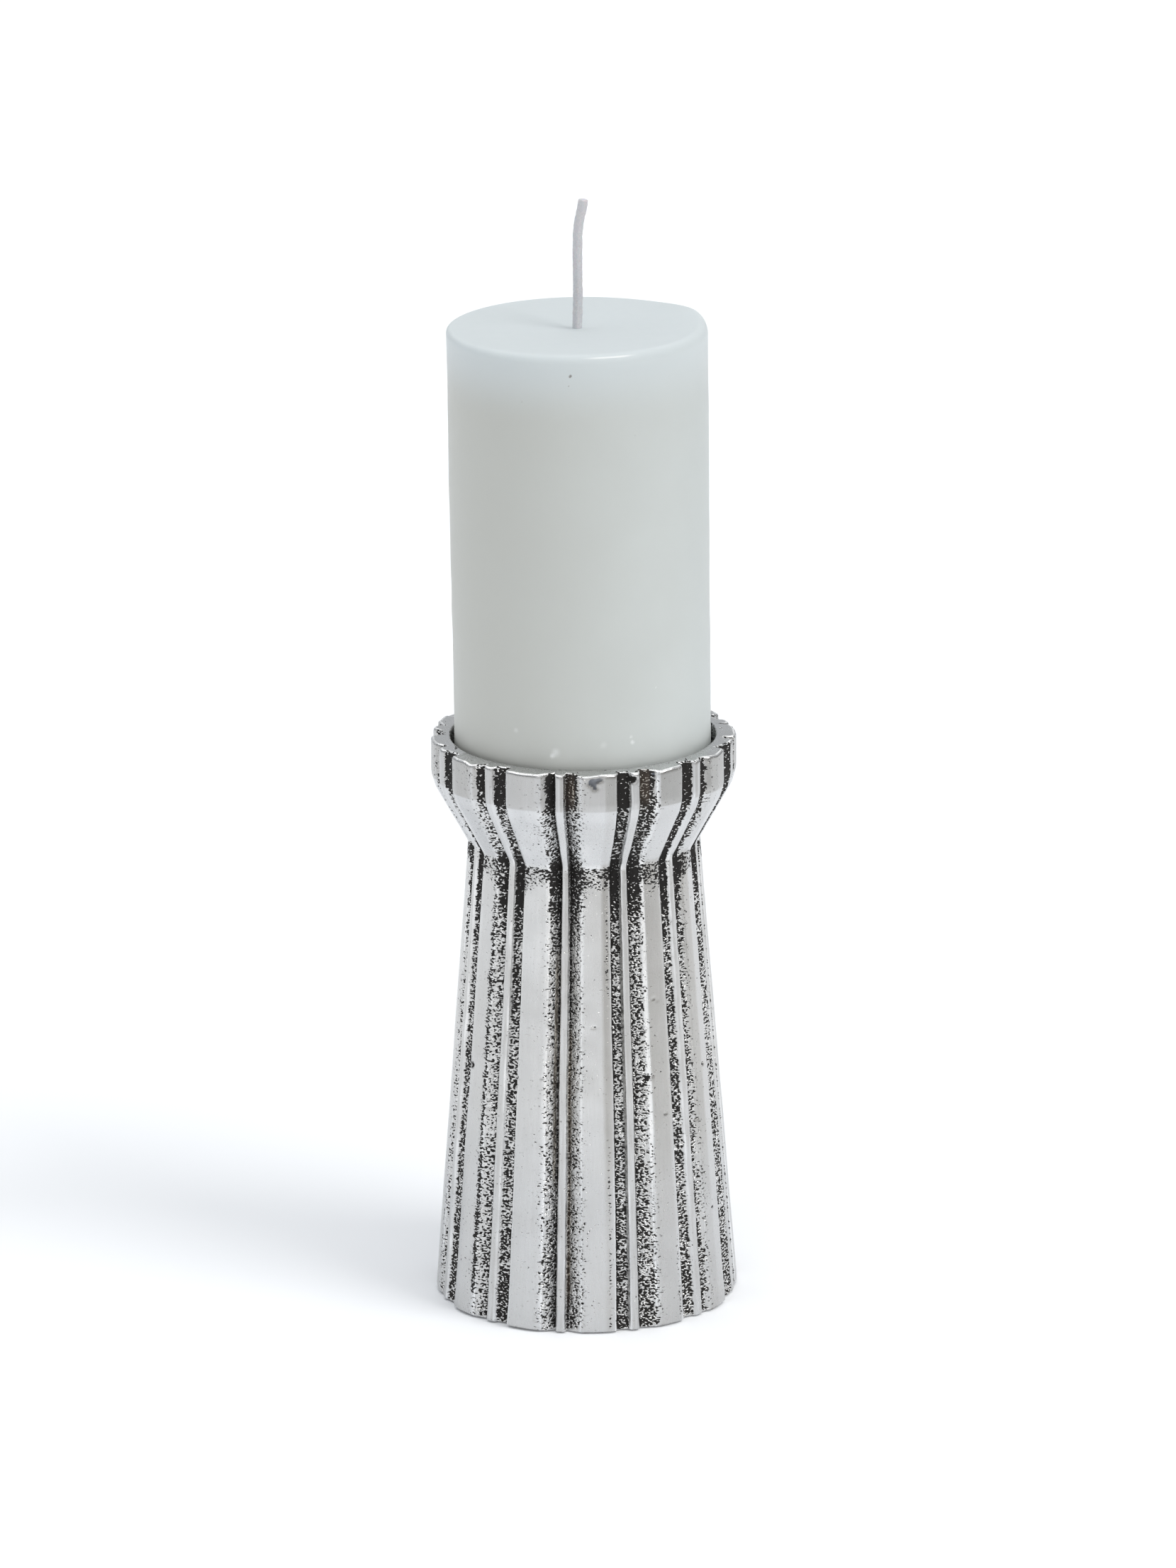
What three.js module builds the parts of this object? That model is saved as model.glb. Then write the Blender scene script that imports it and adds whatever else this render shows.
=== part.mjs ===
// Fluted pillar-candle holder, sand cast in aluminium, with a pillar candle standing in its cup.
// Millimetres, +Z up. The origin is on the surface that the holder stands on, under its middle.
// The front is -Y. Angles round the holder are in degrees from the front towards +X.

import * as THREE from 'three';

// ---------- driving dimensions ----------

const candleRadius = 35;
const candleHeight = 120;
const candleLean = 0.46; // degrees from upright, towards -X
const cupClearance = 1; // between the candle and the cup wall, all round
const cupDepth = 7.5;
const holderHeight = 158.4;
const rimRadius = 41.2;
const footRadius = 41.35;
const neckRadius = 31.3;
const neckHeight = 129.2;
const bandHeight = 10.4; // upright band below the rim
const grooveDepth = 2.9; // from the crown line of the flutes down to the grooves
const wall = 3.2;
const feltThickness = 1.2;
const feltWidth = 3;
const wickRadius = 1.35;
const wickAbove = 34.7; // length of wick above the wax
const tabRadius = 10; // the steel tab under the wick
const tabThickness = 0.4;
const collarRadius = 2.4;
const collarHeight = 3;
const edgeRound = 0.9; // of the casting's foot and rim
const waxTopRound = 3;
const waxBaseRound = 1;
const gap = 0.3; // kept between pieces that fit together

// ---------- dimensions that follow ----------

const feltProud = gap; // how far the felt stands below the foot
const cupRadius = candleRadius + cupClearance;
const cupFloor = holderHeight - cupDepth;
const bandFoot = holderHeight - bandHeight;
const candleBase = cupFloor + gap + candleRadius * Math.sin(THREE.MathUtils.degToRad(candleLean));
const hollowTop = cupFloor - wall;
const hollowNeck = neckRadius - grooveDepth - wall; // radius of the hollow at the neck
const hollowFoot = footRadius - grooveDepth - wall; // and near the foot
const flangeHeight = 6; // the hollow is narrower below this, so that the felt has a seat
const feltInner = hollowFoot - 2;
const feltOuter = feltInner + feltWidth;
const boreRadius = wickRadius + gap;

// Flutes in order round the casting: start angle, width, crown height above the crown line,
// 1 if its left side is a steep step and 0 if it slopes, the same for its right side, then the
// angle from its start to the middle of the rib that follows, that rib's width, and the heights
// of the channels on the rib's left and right. The casting is irregular by design.
const flutes = [
  [-89.5, 12, 0.1, 1, 0, 18.7, 3.9, 0.05, 0.6],
  [-60.1, 13, 0.4, 1, 0, 20.8, 3.9, 0.05, 0.45],
  [-30.6, 13.9, 0.6, 1, 0, 20.9, 3.5, 0.05, 0.05],
  [-2, 14.2, 0, 0, 1, 21.5, 3.6, 0.3, 0.05],
  [28, 12.1, 0.3, 0, 1, 20.7, 3.9, 0.55, 0.6],
  [54.6, 12.4, 0.4, 0, 1, 24.4, 3.8, 0.92, 0.3],
  [85, 14, 0.2, 1, 0, 20.8, 4.2, 0.05, 0.5],
  [116, 13, 0.5, 1, 0, 20.5, 3.8, 0.05, 0.05],
  [147, 14.5, 0.1, 0, 1, 21.5, 4.2, 0.35, 0.05],
  [178, 13.5, 0.1, 0, 1, 21.5, 3.6, 0.5, 0.5],
  [208.5, 14, 0.3, 1, 0, 20.8, 4.2, 0.05, 0.3],
  [239.5, 13, 0.5, 1, 0, 20.6, 4, 0.05, 0.3],
];
const step = 0.5; // how many degrees a steep side takes
const footSpread = 0.6; // how many degrees a flute widens, on its left side, at the foot
const footSpreadHeight = 7;

// ---------- materials ----------

const castAluminium = new THREE.MeshStandardMaterial({ color: 0xc9cacb, roughness: 0.32, metalness: 1 });
const wax = new THREE.MeshStandardMaterial({ color: 0xe6e8e6, roughness: 0.5, metalness: 0 });
const cotton = new THREE.MeshStandardMaterial({ color: 0xd3d5d8, roughness: 0.85, metalness: 0 });
const tinnedSteel = new THREE.MeshStandardMaterial({ color: 0xb4b6b8, roughness: 0.35, metalness: 1 });
const felt = new THREE.MeshStandardMaterial({ color: 0x2b2b2c, roughness: 1, metalness: 0 });

// ---------- helpers ----------

function around(radius, degrees, z) {
  const angle = THREE.MathUtils.degToRad(degrees);
  return new THREE.Vector3(radius * Math.sin(angle), -radius * Math.cos(angle), z);
}

function piece(name, geometry, material) {
  const mesh = new THREE.Mesh(geometry, material);
  mesh.name = name;
  return mesh;
}

// A closed body skinned over rings of points, with a point closing each end.
function skin(startPoint, rings, endPoint) {
  const count = rings[0].length;
  const points = [startPoint, ...rings.flat(), endPoint];
  const last = points.length - 1;
  const triangles = [];
  const at = (ring, i) => 1 + ring * count + (i % count);
  for (let i = 0; i < count; i++) {
    triangles.push(0, at(0, i + 1), at(0, i));
    triangles.push(last, at(rings.length - 1, i), at(rings.length - 1, i + 1));
  }
  for (let ring = 0; ring < rings.length - 1; ring++) {
    for (let i = 0; i < count; i++) {
      triangles.push(at(ring, i), at(ring, i + 1), at(ring + 1, i + 1));
      triangles.push(at(ring, i), at(ring + 1, i + 1), at(ring + 1, i));
    }
  }
  const geometry = new THREE.BufferGeometry().setFromPoints(points);
  geometry.setIndex(triangles);
  geometry.computeVertexNormals();
  return geometry;
}

// A ring-shaped body turned about Z from a closed outline of [radius, z] pairs.
function turned(outline, segments) {
  const closed = [...outline, outline[0]].map(([radius, z]) => new THREE.Vector2(radius, z));
  return new THREE.LatheGeometry(closed, segments).rotateX(Math.PI / 2);
}

// A quarter round from one [radius, z] corner to another, bulging outwards.
function quarterRound(centreRadius, centreZ, size, fromDegrees, steps) {
  const points = [];
  for (let i = 0; i <= steps; i++) {
    const angle = THREE.MathUtils.degToRad(fromDegrees + (90 * i) / steps);
    points.push([centreRadius + size * Math.cos(angle), centreZ + size * Math.sin(angle)]);
  }
  return points;
}

// ---------- the casting ----------

// The section as [angle, height] points: 0 is the bottom of the grooves, 1 the crown line.
// Between a flute and a rib the casting runs as one slope, deepest at the foot of the steep side.
function section(spread) {
  return flutes.flatMap((flute, i) => {
    const [start, width, crown, , rightSteep, ribOffset, ribWidth, leftChannel, rightChannel] = flute;
    const nextFlute = flutes[(i + 1) % flutes.length];
    const next = nextFlute[0] + (i + 1 < flutes.length ? 0 : 360);
    const nextSteep = nextFlute[3];
    const rib = start + ribOffset;
    const half = 0.5 * ribWidth;
    const rise = crown / grooveDepth;
    return [
      [start - spread, 0.86 + rise],
      [start + 1.4, 1 + rise],
      [start + 0.6 * width, 1.05 + rise],
      [start + width - 1.2, 0.97 + rise],
      [start + width, 0.86 + rise],
      [start + width + step, rightSteep ? 0.05 : 0.8 + rise],
      [rib - half - step, leftChannel],
      [rib - half, 0.8],
      [rib, 1],
      [rib + half, 0.8],
      [rib + half + step, rightChannel],
      [next - spread - step, nextSteep ? 0.05 : 0.8],
    ];
  });
}

// Crown-line radius of the outside at a height: straight sides in, a straight flare, a band.
function crownRadius(z) {
  if (z < neckHeight) return THREE.MathUtils.mapLinear(z, 0, neckHeight, footRadius, neckRadius);
  if (z < bandFoot) return THREE.MathUtils.mapLinear(z, neckHeight, bandFoot, neckRadius, rimRadius);
  return rimRadius;
}

function flutedRing(z, inset) {
  const spread = footSpread * Math.max(0, 1 - z / footSpreadHeight);
  return section(spread).map(([angle, height]) => {
    const radius = crownRadius(z) - grooveDepth * (1 - height) - inset;
    return around(radius, angle, z);
  });
}

function roundRing(radius, z) {
  return section(0).map(([angle]) => around(radius, angle, z));
}

function castingGeometry() {
  const footZ = feltProud;
  const rebateOuter = feltOuter + gap;
  const rebateTop = feltThickness + gap;
  const rimRound = 0.4 * edgeRound;
  const cupRound = 0.5;
  const outside = [
    flutedRing(footZ, edgeRound),
    flutedRing(footZ + edgeRound, 0),
    flutedRing(footSpreadHeight, 0),
    flutedRing(neckHeight * 0.5, 0),
    flutedRing(neckHeight - 1, 0),
    flutedRing(neckHeight + 1, 0),
    flutedRing(bandFoot, 0),
    flutedRing(holderHeight - edgeRound, 0),
    flutedRing(holderHeight, rimRound),
  ];
  const cup = [
    roundRing(cupRadius + cupRound, holderHeight),
    roundRing(cupRadius, holderHeight - cupRound),
    roundRing(cupRadius, cupFloor + cupRound),
    roundRing(cupRadius - cupRound, cupFloor),
  ];
  const hollow = [
    roundRing(hollowNeck + wall, hollowTop),
    roundRing(hollowNeck, neckHeight - wall),
    roundRing(hollowFoot - gap, flangeHeight + wall),
    roundRing(feltInner, flangeHeight),
    roundRing(feltInner, rebateTop),
    roundRing(rebateOuter, rebateTop),
    roundRing(rebateOuter, footZ),
  ];
  const ceiling = new THREE.Vector3(0, 0, hollowTop);
  const floor = new THREE.Vector3(0, 0, cupFloor);
  return skin(ceiling, [...hollow, ...outside, ...cup], floor);
}

function feltGeometry() {
  const outline = [
    [feltInner, 0],
    [feltOuter, 0],
    [feltOuter, feltThickness],
    [feltInner, feltThickness],
  ];
  return turned(outline, 72);
}

// ---------- the candle: wax, wick and the steel tab that holds the wick's foot ----------

function waxGeometry() {
  const outline = [
    [boreRadius, collarHeight + tabThickness + gap],
    [collarRadius + gap, collarHeight + tabThickness + gap],
    [collarRadius + gap, tabThickness + gap],
    [tabRadius + gap, tabThickness + gap],
    [tabRadius + gap, 0],
    ...quarterRound(candleRadius - waxBaseRound, waxBaseRound, waxBaseRound, -90, 2),
    ...quarterRound(candleRadius - waxTopRound, candleHeight - waxTopRound, waxTopRound, 0, 5),
    [boreRadius, candleHeight - gap],
  ];
  return turned(outline, 72);
}

// The wick runs straight up through the wax and bends over to the right near its tip.
function wickGeometry() {
  const above = (share) => candleHeight + share * wickAbove;
  const route = new THREE.CatmullRomCurve3([
    new THREE.Vector3(0, 0, tabThickness),
    new THREE.Vector3(0, 0, candleHeight * 0.5),
    new THREE.Vector3(0, 0, above(-0.05)),
    new THREE.Vector3(0.4, 0, above(0.2)),
    new THREE.Vector3(0.42, 0, above(0.52)),
    new THREE.Vector3(0.55, 0, above(0.76)),
    new THREE.Vector3(1.3, 0, above(0.88)),
    new THREE.Vector3(2.6, 0, above(1)),
  ]);
  const circle = new THREE.Shape().absarc(0, 0, wickRadius, 0, 2 * Math.PI);
  return new THREE.ExtrudeGeometry(circle, { steps: 36, curveSegments: 6, extrudePath: route });
}

function sustainerGeometry() {
  const outline = [
    [boreRadius, tabThickness],
    [boreRadius, 0],
    [tabRadius, 0],
    [tabRadius, tabThickness],
    [collarRadius, tabThickness],
    [collarRadius, tabThickness + collarHeight],
    [boreRadius, tabThickness + collarHeight],
  ];
  return turned(outline, 48);
}

// ---------- assembly ----------

const candle = new THREE.Group();
candle.position.set(0, 0, candleBase);
candle.rotation.y = THREE.MathUtils.degToRad(-candleLean);
candle.add(piece('candle_wax', waxGeometry(), wax));
candle.add(piece('wick', wickGeometry(), cotton));
candle.add(piece('wick_sustainer', sustainerGeometry(), tinnedSteel));

const holder = new THREE.Group();
holder.add(piece('holder_casting', castingGeometry(), castAluminium));
holder.add(piece('foot_felt', feltGeometry(), felt));

const group = new THREE.Group();
group.add(holder, candle);

export default group;
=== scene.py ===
"""Looks for a fluted cast-aluminium candle holder and the pillar candle that stands in its cup.

Everything is worked out in millimetres, in the CAD frame, and turned into metres as each mesh is made.
The front is -Y. Angles round the holder are in degrees from the front towards +X.
"""

import math
from collections import namedtuple

import bpy
import numpy as np
from mathutils import Matrix, Vector


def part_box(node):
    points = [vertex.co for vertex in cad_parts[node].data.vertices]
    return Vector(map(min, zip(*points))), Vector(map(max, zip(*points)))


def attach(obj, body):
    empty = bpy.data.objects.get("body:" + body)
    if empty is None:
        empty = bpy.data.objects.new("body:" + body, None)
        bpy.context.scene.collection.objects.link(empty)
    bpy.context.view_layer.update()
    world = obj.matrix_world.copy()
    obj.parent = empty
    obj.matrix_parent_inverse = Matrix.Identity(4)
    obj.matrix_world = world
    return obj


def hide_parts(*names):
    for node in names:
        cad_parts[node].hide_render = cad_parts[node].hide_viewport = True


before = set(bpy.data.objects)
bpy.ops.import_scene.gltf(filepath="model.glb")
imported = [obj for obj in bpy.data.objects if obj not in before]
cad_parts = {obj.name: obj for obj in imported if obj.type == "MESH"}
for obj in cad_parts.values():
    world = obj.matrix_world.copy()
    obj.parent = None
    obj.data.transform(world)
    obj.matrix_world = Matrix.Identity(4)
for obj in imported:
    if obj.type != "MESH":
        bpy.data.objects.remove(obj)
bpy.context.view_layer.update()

MM = 0.001

# ---------- dimensions, in millimetres

casting_low, casting_high = [np.array(corner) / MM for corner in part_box("holder_casting")]
felt_low, felt_high = [np.array(corner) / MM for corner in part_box("foot_felt")]

FOOT_Z = casting_low[2]
RIM_Z = casting_high[2]
RIM_RADIUS = 41.2
FOOT_RADIUS = 41.35
NECK_RADIUS = 31.3
NECK_Z = 129.2
BAND_HEIGHT = 10.4
BAND_Z = RIM_Z - BAND_HEIGHT
GROOVE_DEPTH = 2.9
WALL = 3.2
CANDLE_RADIUS = 35.0
CANDLE_TAPER = 0.25  # how much wider the candle is at its top than at its foot
CANDLE_HEIGHT = 120.0
CANDLE_LEAN = math.radians(0.46)
CUP_CLEARANCE = 1.0
CUP_DEPTH = 7.5
CUP_RADIUS = CANDLE_RADIUS + CUP_CLEARANCE
CUP_FLOOR_Z = RIM_Z - CUP_DEPTH
FOOT_EDGE = 0.9  # rounding of the casting's foot
RIM_EDGE = 0.8  # and of its rim
GAP = 0.3  # kept between pieces that fit together
CANDLE_BASE_Z = CUP_FLOOR_Z + GAP + CANDLE_RADIUS * math.sin(CANDLE_LEAN)
WICK_RADIUS = 1.35
WICK_ABOVE = 34.7  # length of wick above the wax
FELT_WIDTH = 3.0
FELT_OUTER = felt_high[0]
FELT_INNER = FELT_OUTER - FELT_WIDTH

# Each flute: its start angle, width and crown height in mm; whether its left and right sides are
# steep steps (1) or slopes (0); how far the next rib's middle is from its start, that rib's width,
# and the heights of the channels left and right of the rib, from 0 to 1. The rest is for looks:
# where its face folds, as a share of its width, and how bright its left and right faces are painted,
# which is painted reflection and shade by the way each face turns.
Flute = namedtuple("Flute", "start width crown left_steep right_steep rib rib_width"
                            " left_channel right_channel fold left_shine right_shine")
FLUTES = [
    Flute(-89.5, 12.0, 0.1, 1, 0, 18.7, 3.9, 0.05, 0.60, 0.60, 0.62, 0.56),
    Flute(-60.1, 13.0, 0.4, 1, 0, 20.8, 3.9, 0.05, 0.45, 0.28, 0.66, 0.60),
    Flute(-30.6, 13.9, 0.6, 1, 0, 20.9, 3.5, 0.05, 0.05, 0.55, 0.66, 0.70),
    Flute(-2.0, 14.2, 0.0, 0, 1, 21.5, 3.6, 0.30, 0.05, 0.71, 0.74, 0.20),
    Flute(28.0, 12.1, 0.3, 0, 1, 20.7, 3.9, 0.55, 0.60, 0.13, 0.95, 0.26),
    Flute(54.6, 12.4, 0.4, 0, 1, 24.4, 3.8, 0.92, 0.30, 0.46, 0.24, 0.60),
    Flute(85.0, 14.0, 0.2, 1, 0, 20.8, 4.2, 0.05, 0.50, 0.40, 0.50, 0.65),
    Flute(116.0, 13.0, 0.5, 1, 0, 20.5, 3.8, 0.05, 0.05, 0.65, 0.70, 0.45),
    Flute(147.0, 14.5, 0.1, 0, 1, 21.5, 4.2, 0.35, 0.05, 0.30, 0.80, 0.50),
    Flute(178.0, 13.5, 0.1, 0, 1, 21.5, 3.6, 0.50, 0.50, 0.70, 0.68, 0.35),
    Flute(208.5, 14.0, 0.3, 1, 0, 20.8, 4.2, 0.05, 0.30, 0.55, 0.62, 0.72),
    Flute(239.5, 13.0, 0.5, 1, 0, 20.6, 4.0, 0.05, 0.30, 0.30, 0.58, 0.48),
]
# How much the hand-cut flutes run askew: angle, and degrees moved to the right from foot to neck.
SKEW = [(-71, 2.0), (-60, 2.6), (-31, 1.4), (-10, 1.1), (20, 1.3), (40, 0.1), (70, -0.2), (150, 0.8),
        (230, -0.6)]
STEP = 0.5  # angle that a steep side takes up
FOOT_SPREAD = 0.6  # angle by which the flutes are wider at the foot
FOOT_SPREAD_HEIGHT = 7.0

# ---------- camera, light and floor

CAMERA_PLACE = (0.00127, -2.150, 0.7818)
CAMERA_PITCH = math.radians(16.5276)  # below the horizon
CAMERA_ROLL = math.radians(-0.3494)
CAMERA_LENS = 189.61


def add_object(name, data):
    thing = bpy.data.objects.new(name, data)
    bpy.context.scene.collection.objects.link(thing)
    return thing


def add_camera():
    data = bpy.data.cameras.new("camera")
    data.lens = CAMERA_LENS
    data.sensor_width = 36
    data.sensor_fit = "AUTO"
    data.clip_start = 0.05
    data.clip_end = 60
    camera = add_object("camera", data)
    tilt = Matrix.Rotation(math.pi / 2 - CAMERA_PITCH, 4, "X")
    camera.matrix_world = Matrix.Translation(CAMERA_PLACE) @ tilt @ Matrix.Rotation(CAMERA_ROLL, 4, "Z")
    bpy.context.scene.camera = camera


def add_sun(name, towards, strength, spread, colour):
    """A far lamp that shines from a direction; the wider its spread, the softer its shadows."""
    data = bpy.data.lights.new(name, "SUN")
    data.energy = strength
    data.angle = math.radians(spread)
    data.color = colour
    lamp = add_object(name, data)
    lamp.matrix_world = Vector(towards).to_track_quat("Z", "Y").to_matrix().to_4x4()


def add_lights():
    add_sun("window_right", (0.86, -0.52, 1.15), 1.15, 26, (1.0, 0.985, 0.955))
    add_sun("ceiling", (-0.15, 0.1, 1.0), 1.15, 70, (1.0, 1.0, 1.0))
    add_sun("front", (0.25, -1.0, 0.55), 0.42, 60, (1.0, 1.0, 1.0))
    world = bpy.data.worlds.new("studio")
    bpy.context.scene.world = world
    world.use_nodes = True
    nodes, links = world.node_tree.nodes, world.node_tree.links
    direction = nodes.new("ShaderNodeTexCoord").outputs["Generated"]
    facing = nodes.new("ShaderNodeVectorMath")
    facing.operation = "DOT_PRODUCT"
    facing.inputs[1].default_value = (-0.62, 0.62, 0.48)
    links.new(direction, facing.inputs[0])
    ramp = nodes.new("ShaderNodeValToRGB")
    dim, bright = ramp.color_ramp.elements
    dim.position, bright.position = 0.0, 1.0
    dim.color, bright.color = (0.30, 0.295, 0.29, 1), (0.52, 0.535, 0.55, 1)
    half = nodes.new("ShaderNodeMath")
    half.operation = "MULTIPLY_ADD"
    half.inputs[1].default_value = 0.5
    half.inputs[2].default_value = 0.5
    links.new(facing.outputs["Value"], half.inputs[0])
    links.new(half.outputs[0], ramp.inputs["Fac"])
    links.new(ramp.outputs["Color"], nodes["Background"].inputs["Color"])
    nodes["Background"].inputs["Strength"].default_value = 1.0


def add_floor():
    mesh = bpy.data.meshes.new("floor")
    half = 12.0
    corners = [(-half, -half, 0), (half, -half, 0), (half, half, 0), (-half, half, 0)]
    mesh.from_pydata(corners, [], [(0, 1, 2, 3)])
    floor = add_object("floor", mesh)
    paint = Paint("floor_paper")
    x, y = paint.parts(paint.place)[:2]
    nearness = paint.math("MULTIPLY_ADD", x, 0.6, paint.times(y, -0.8))
    fall = paint.steps(0.34, 0.95, nearness)
    paint.set("Base Color", paint.mix(fall, (0.94, 0.96, 0.99), (0.41, 0.405, 0.40)))
    # A faint glow on the paper toward the front and right of the holder: painted light that lifts the shade
    # in front of the foot.
    paint.set("Emission Color", (1.0, 1.0, 1.0))
    paint.set("Emission Strength", paint.times(paint.steps(-0.03, 0.05, nearness), 0.09))
    paint.set("Roughness", 0.8)
    paint.set("Specular IOR Level", 0.2)
    floor.data.materials.append(paint.material)


# ---------- numbers and noise


def smooth(low, high, x):
    """0 below low, 1 above high, with a soft turn at each end."""
    t = np.clip((x - low) / (high - low), 0, 1)
    return t * t * (3 - 2 * t)


def bell(centre, width, x):
    return np.exp(-(((x - centre) / width) ** 2))


def lattice(x, y, z, seed):
    """A repeatable number from 0 to 1 for each corner of a whole-number grid."""
    n = (x * 73856093) ^ (y * 19349663) ^ (z * 83492791) ^ (seed * 40503)
    n = n & 0xFFFFFFFF
    n = ((n ^ (n >> 15)) * 2246822519) & 0xFFFFFFFF
    n = ((n ^ (n >> 13)) * 3266489917) & 0xFFFFFFFF
    return ((n ^ (n >> 16)) & 0xFFFFFF) / 0xFFFFFF


def noise(points, size, seed):
    """Smooth noise from -1 to 1 at points of shape (..., 3), with lumps of about that size."""
    scaled = points / size
    cell = np.floor(scaled).astype(np.int64)
    t = scaled - cell
    t = t * t * (3 - 2 * t)
    total = 0
    for corner in range(8):
        dx, dy, dz = corner & 1, (corner >> 1) & 1, corner >> 2
        weight = (t[..., 0] if dx else 1 - t[..., 0]) * (t[..., 1] if dy else 1 - t[..., 1])
        weight = weight * (t[..., 2] if dz else 1 - t[..., 2])
        total = total + weight * lattice(cell[..., 0] + dx, cell[..., 1] + dy, cell[..., 2] + dz, seed)
    return 2 * total - 1


def around(radius, degrees, z):
    """Points at a radius, an angle from the front and a height, as an array of shape (..., 3)."""
    angle = np.radians(degrees)
    return np.stack(np.broadcast_arrays(radius * np.sin(angle), -radius * np.cos(angle), z), axis=-1)


# ---------- meshes


UV_MARGIN = 0.01


def grid_faces(columns, u, along, closed):
    """Quads between neighbouring rings, and where each one lies on the UV map."""
    rings = len(along)
    rows = np.arange(rings if closed else rings - 1)
    ring, column = np.meshgrid(rows, np.arange(columns), indexing="ij")
    after = (column + 1) % columns
    above = (ring + 1) % rings
    quads = np.stack([ring * columns + column, ring * columns + after,
                      above * columns + after, above * columns + column], axis=-1)
    top = along[np.minimum(ring + 1, rings - 1)]
    uv = np.stack([np.stack([u[column], along[ring]], -1), np.stack([u[column + 1], along[ring]], -1),
                   np.stack([u[column + 1], top], -1), np.stack([u[column], top], -1)], axis=-2)
    return quads.reshape(-1, 4), uv.reshape(-1, 2)


def end_fan(first, tip, u, edge_v, outward):
    """Triangles that close an end ring with one point, and where each one lies on the UV map."""
    columns = len(u) - 1
    near = first + np.arange(columns)
    far = first + (np.arange(columns) + 1) % columns
    fan = [near, far] if outward else [far, near]
    fan.append(np.full(columns, tip))
    fan_u = [u[:-1], u[1:], u[:-1]] if outward else [u[1:], u[:-1], u[:-1]]
    fan_v = [edge_v, edge_v, 1.0 if outward else 0.0]
    uv = [np.stack([a, np.full(columns, b)], -1) for a, b in zip(fan_u, fan_v)]
    return np.stack(fan, -1).ravel(), np.stack(uv, 1).reshape(-1, 2)


def smooth_mesh(name, verts, loops, sizes, uv):
    """A smooth mesh from its points in millimetres, its faces' corners, their counts and its UV map."""
    mesh = bpy.data.meshes.new(name)
    mesh.vertices.add(len(verts))
    mesh.vertices.foreach_set("co", (verts * MM).astype(np.float32).ravel())
    mesh.loops.add(len(loops))
    mesh.loops.foreach_set("vertex_index", loops.astype(np.int32))
    mesh.polygons.add(len(sizes))
    mesh.polygons.foreach_set("loop_start", (np.cumsum(sizes) - sizes).astype(np.int32))
    mesh.polygons.foreach_set("use_smooth", np.ones(len(sizes), dtype=bool))
    mesh.update(calc_edges=True)
    layer = mesh.uv_layers.new(name="OFBake")
    layer.data.foreach_set("uv", uv.astype(np.float32).ravel())
    return mesh


def grid_mesh(name, points, start=None, end=None, closed=False, attributes=None, share=None):
    """A smooth mesh over rings of points, an array of shape (rings, columns, 3) in millimetres.

    The columns close round. Each end is left open, closed by a point, or, if closed, the last ring
    joins the first. Attributes are arrays of shape (rings, columns). The UV map follows the grid,
    and share says how generously each ring is laid out on it.
    """
    rings, columns = points.shape[:2]
    lengths = np.linalg.norm(np.diff(points[:, 0], axis=0), axis=1)
    if share is not None:
        lengths = lengths * share[1:]
    along = np.concatenate([[0], np.cumsum(lengths)])
    along = UV_MARGIN + (1 - 2 * UV_MARGIN) * along / along[-1]
    u = UV_MARGIN + (1 - 2 * UV_MARGIN) * np.arange(columns + 1) / columns
    quads, quad_uv = grid_faces(columns, u, along, closed)
    verts, loops, uvs, sizes = [points.reshape(-1, 3)], [quads.ravel()], [quad_uv], [np.full(len(quads), 4)]
    for point, first, outward in ((start, 0, False), (end, (rings - 1) * columns, True)):
        if point is None:
            continue
        tip = sum(len(part) for part in verts)
        fan, fan_uv = end_fan(first, tip, u, along[-1] if outward else along[0], outward)
        verts.append(np.asarray(point, float).reshape(1, 3))
        loops.append(fan)
        uvs.append(fan_uv)
        sizes.append(np.full(columns, 3))
    mesh = smooth_mesh(name, *[np.concatenate(parts) for parts in (verts, loops, sizes, uvs)])
    for key, values in (attributes or {}).items():
        values = np.broadcast_to(values, (rings, columns)).ravel()
        ends = [values[0]] * (start is not None) + [values[-1]] * (end is not None)
        data = mesh.attributes.new(key, "FLOAT", "POINT").data
        data.foreach_set("value", np.concatenate([values, ends]).astype(np.float32))
    return add_object(name, mesh)


# ---------- materials


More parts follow.
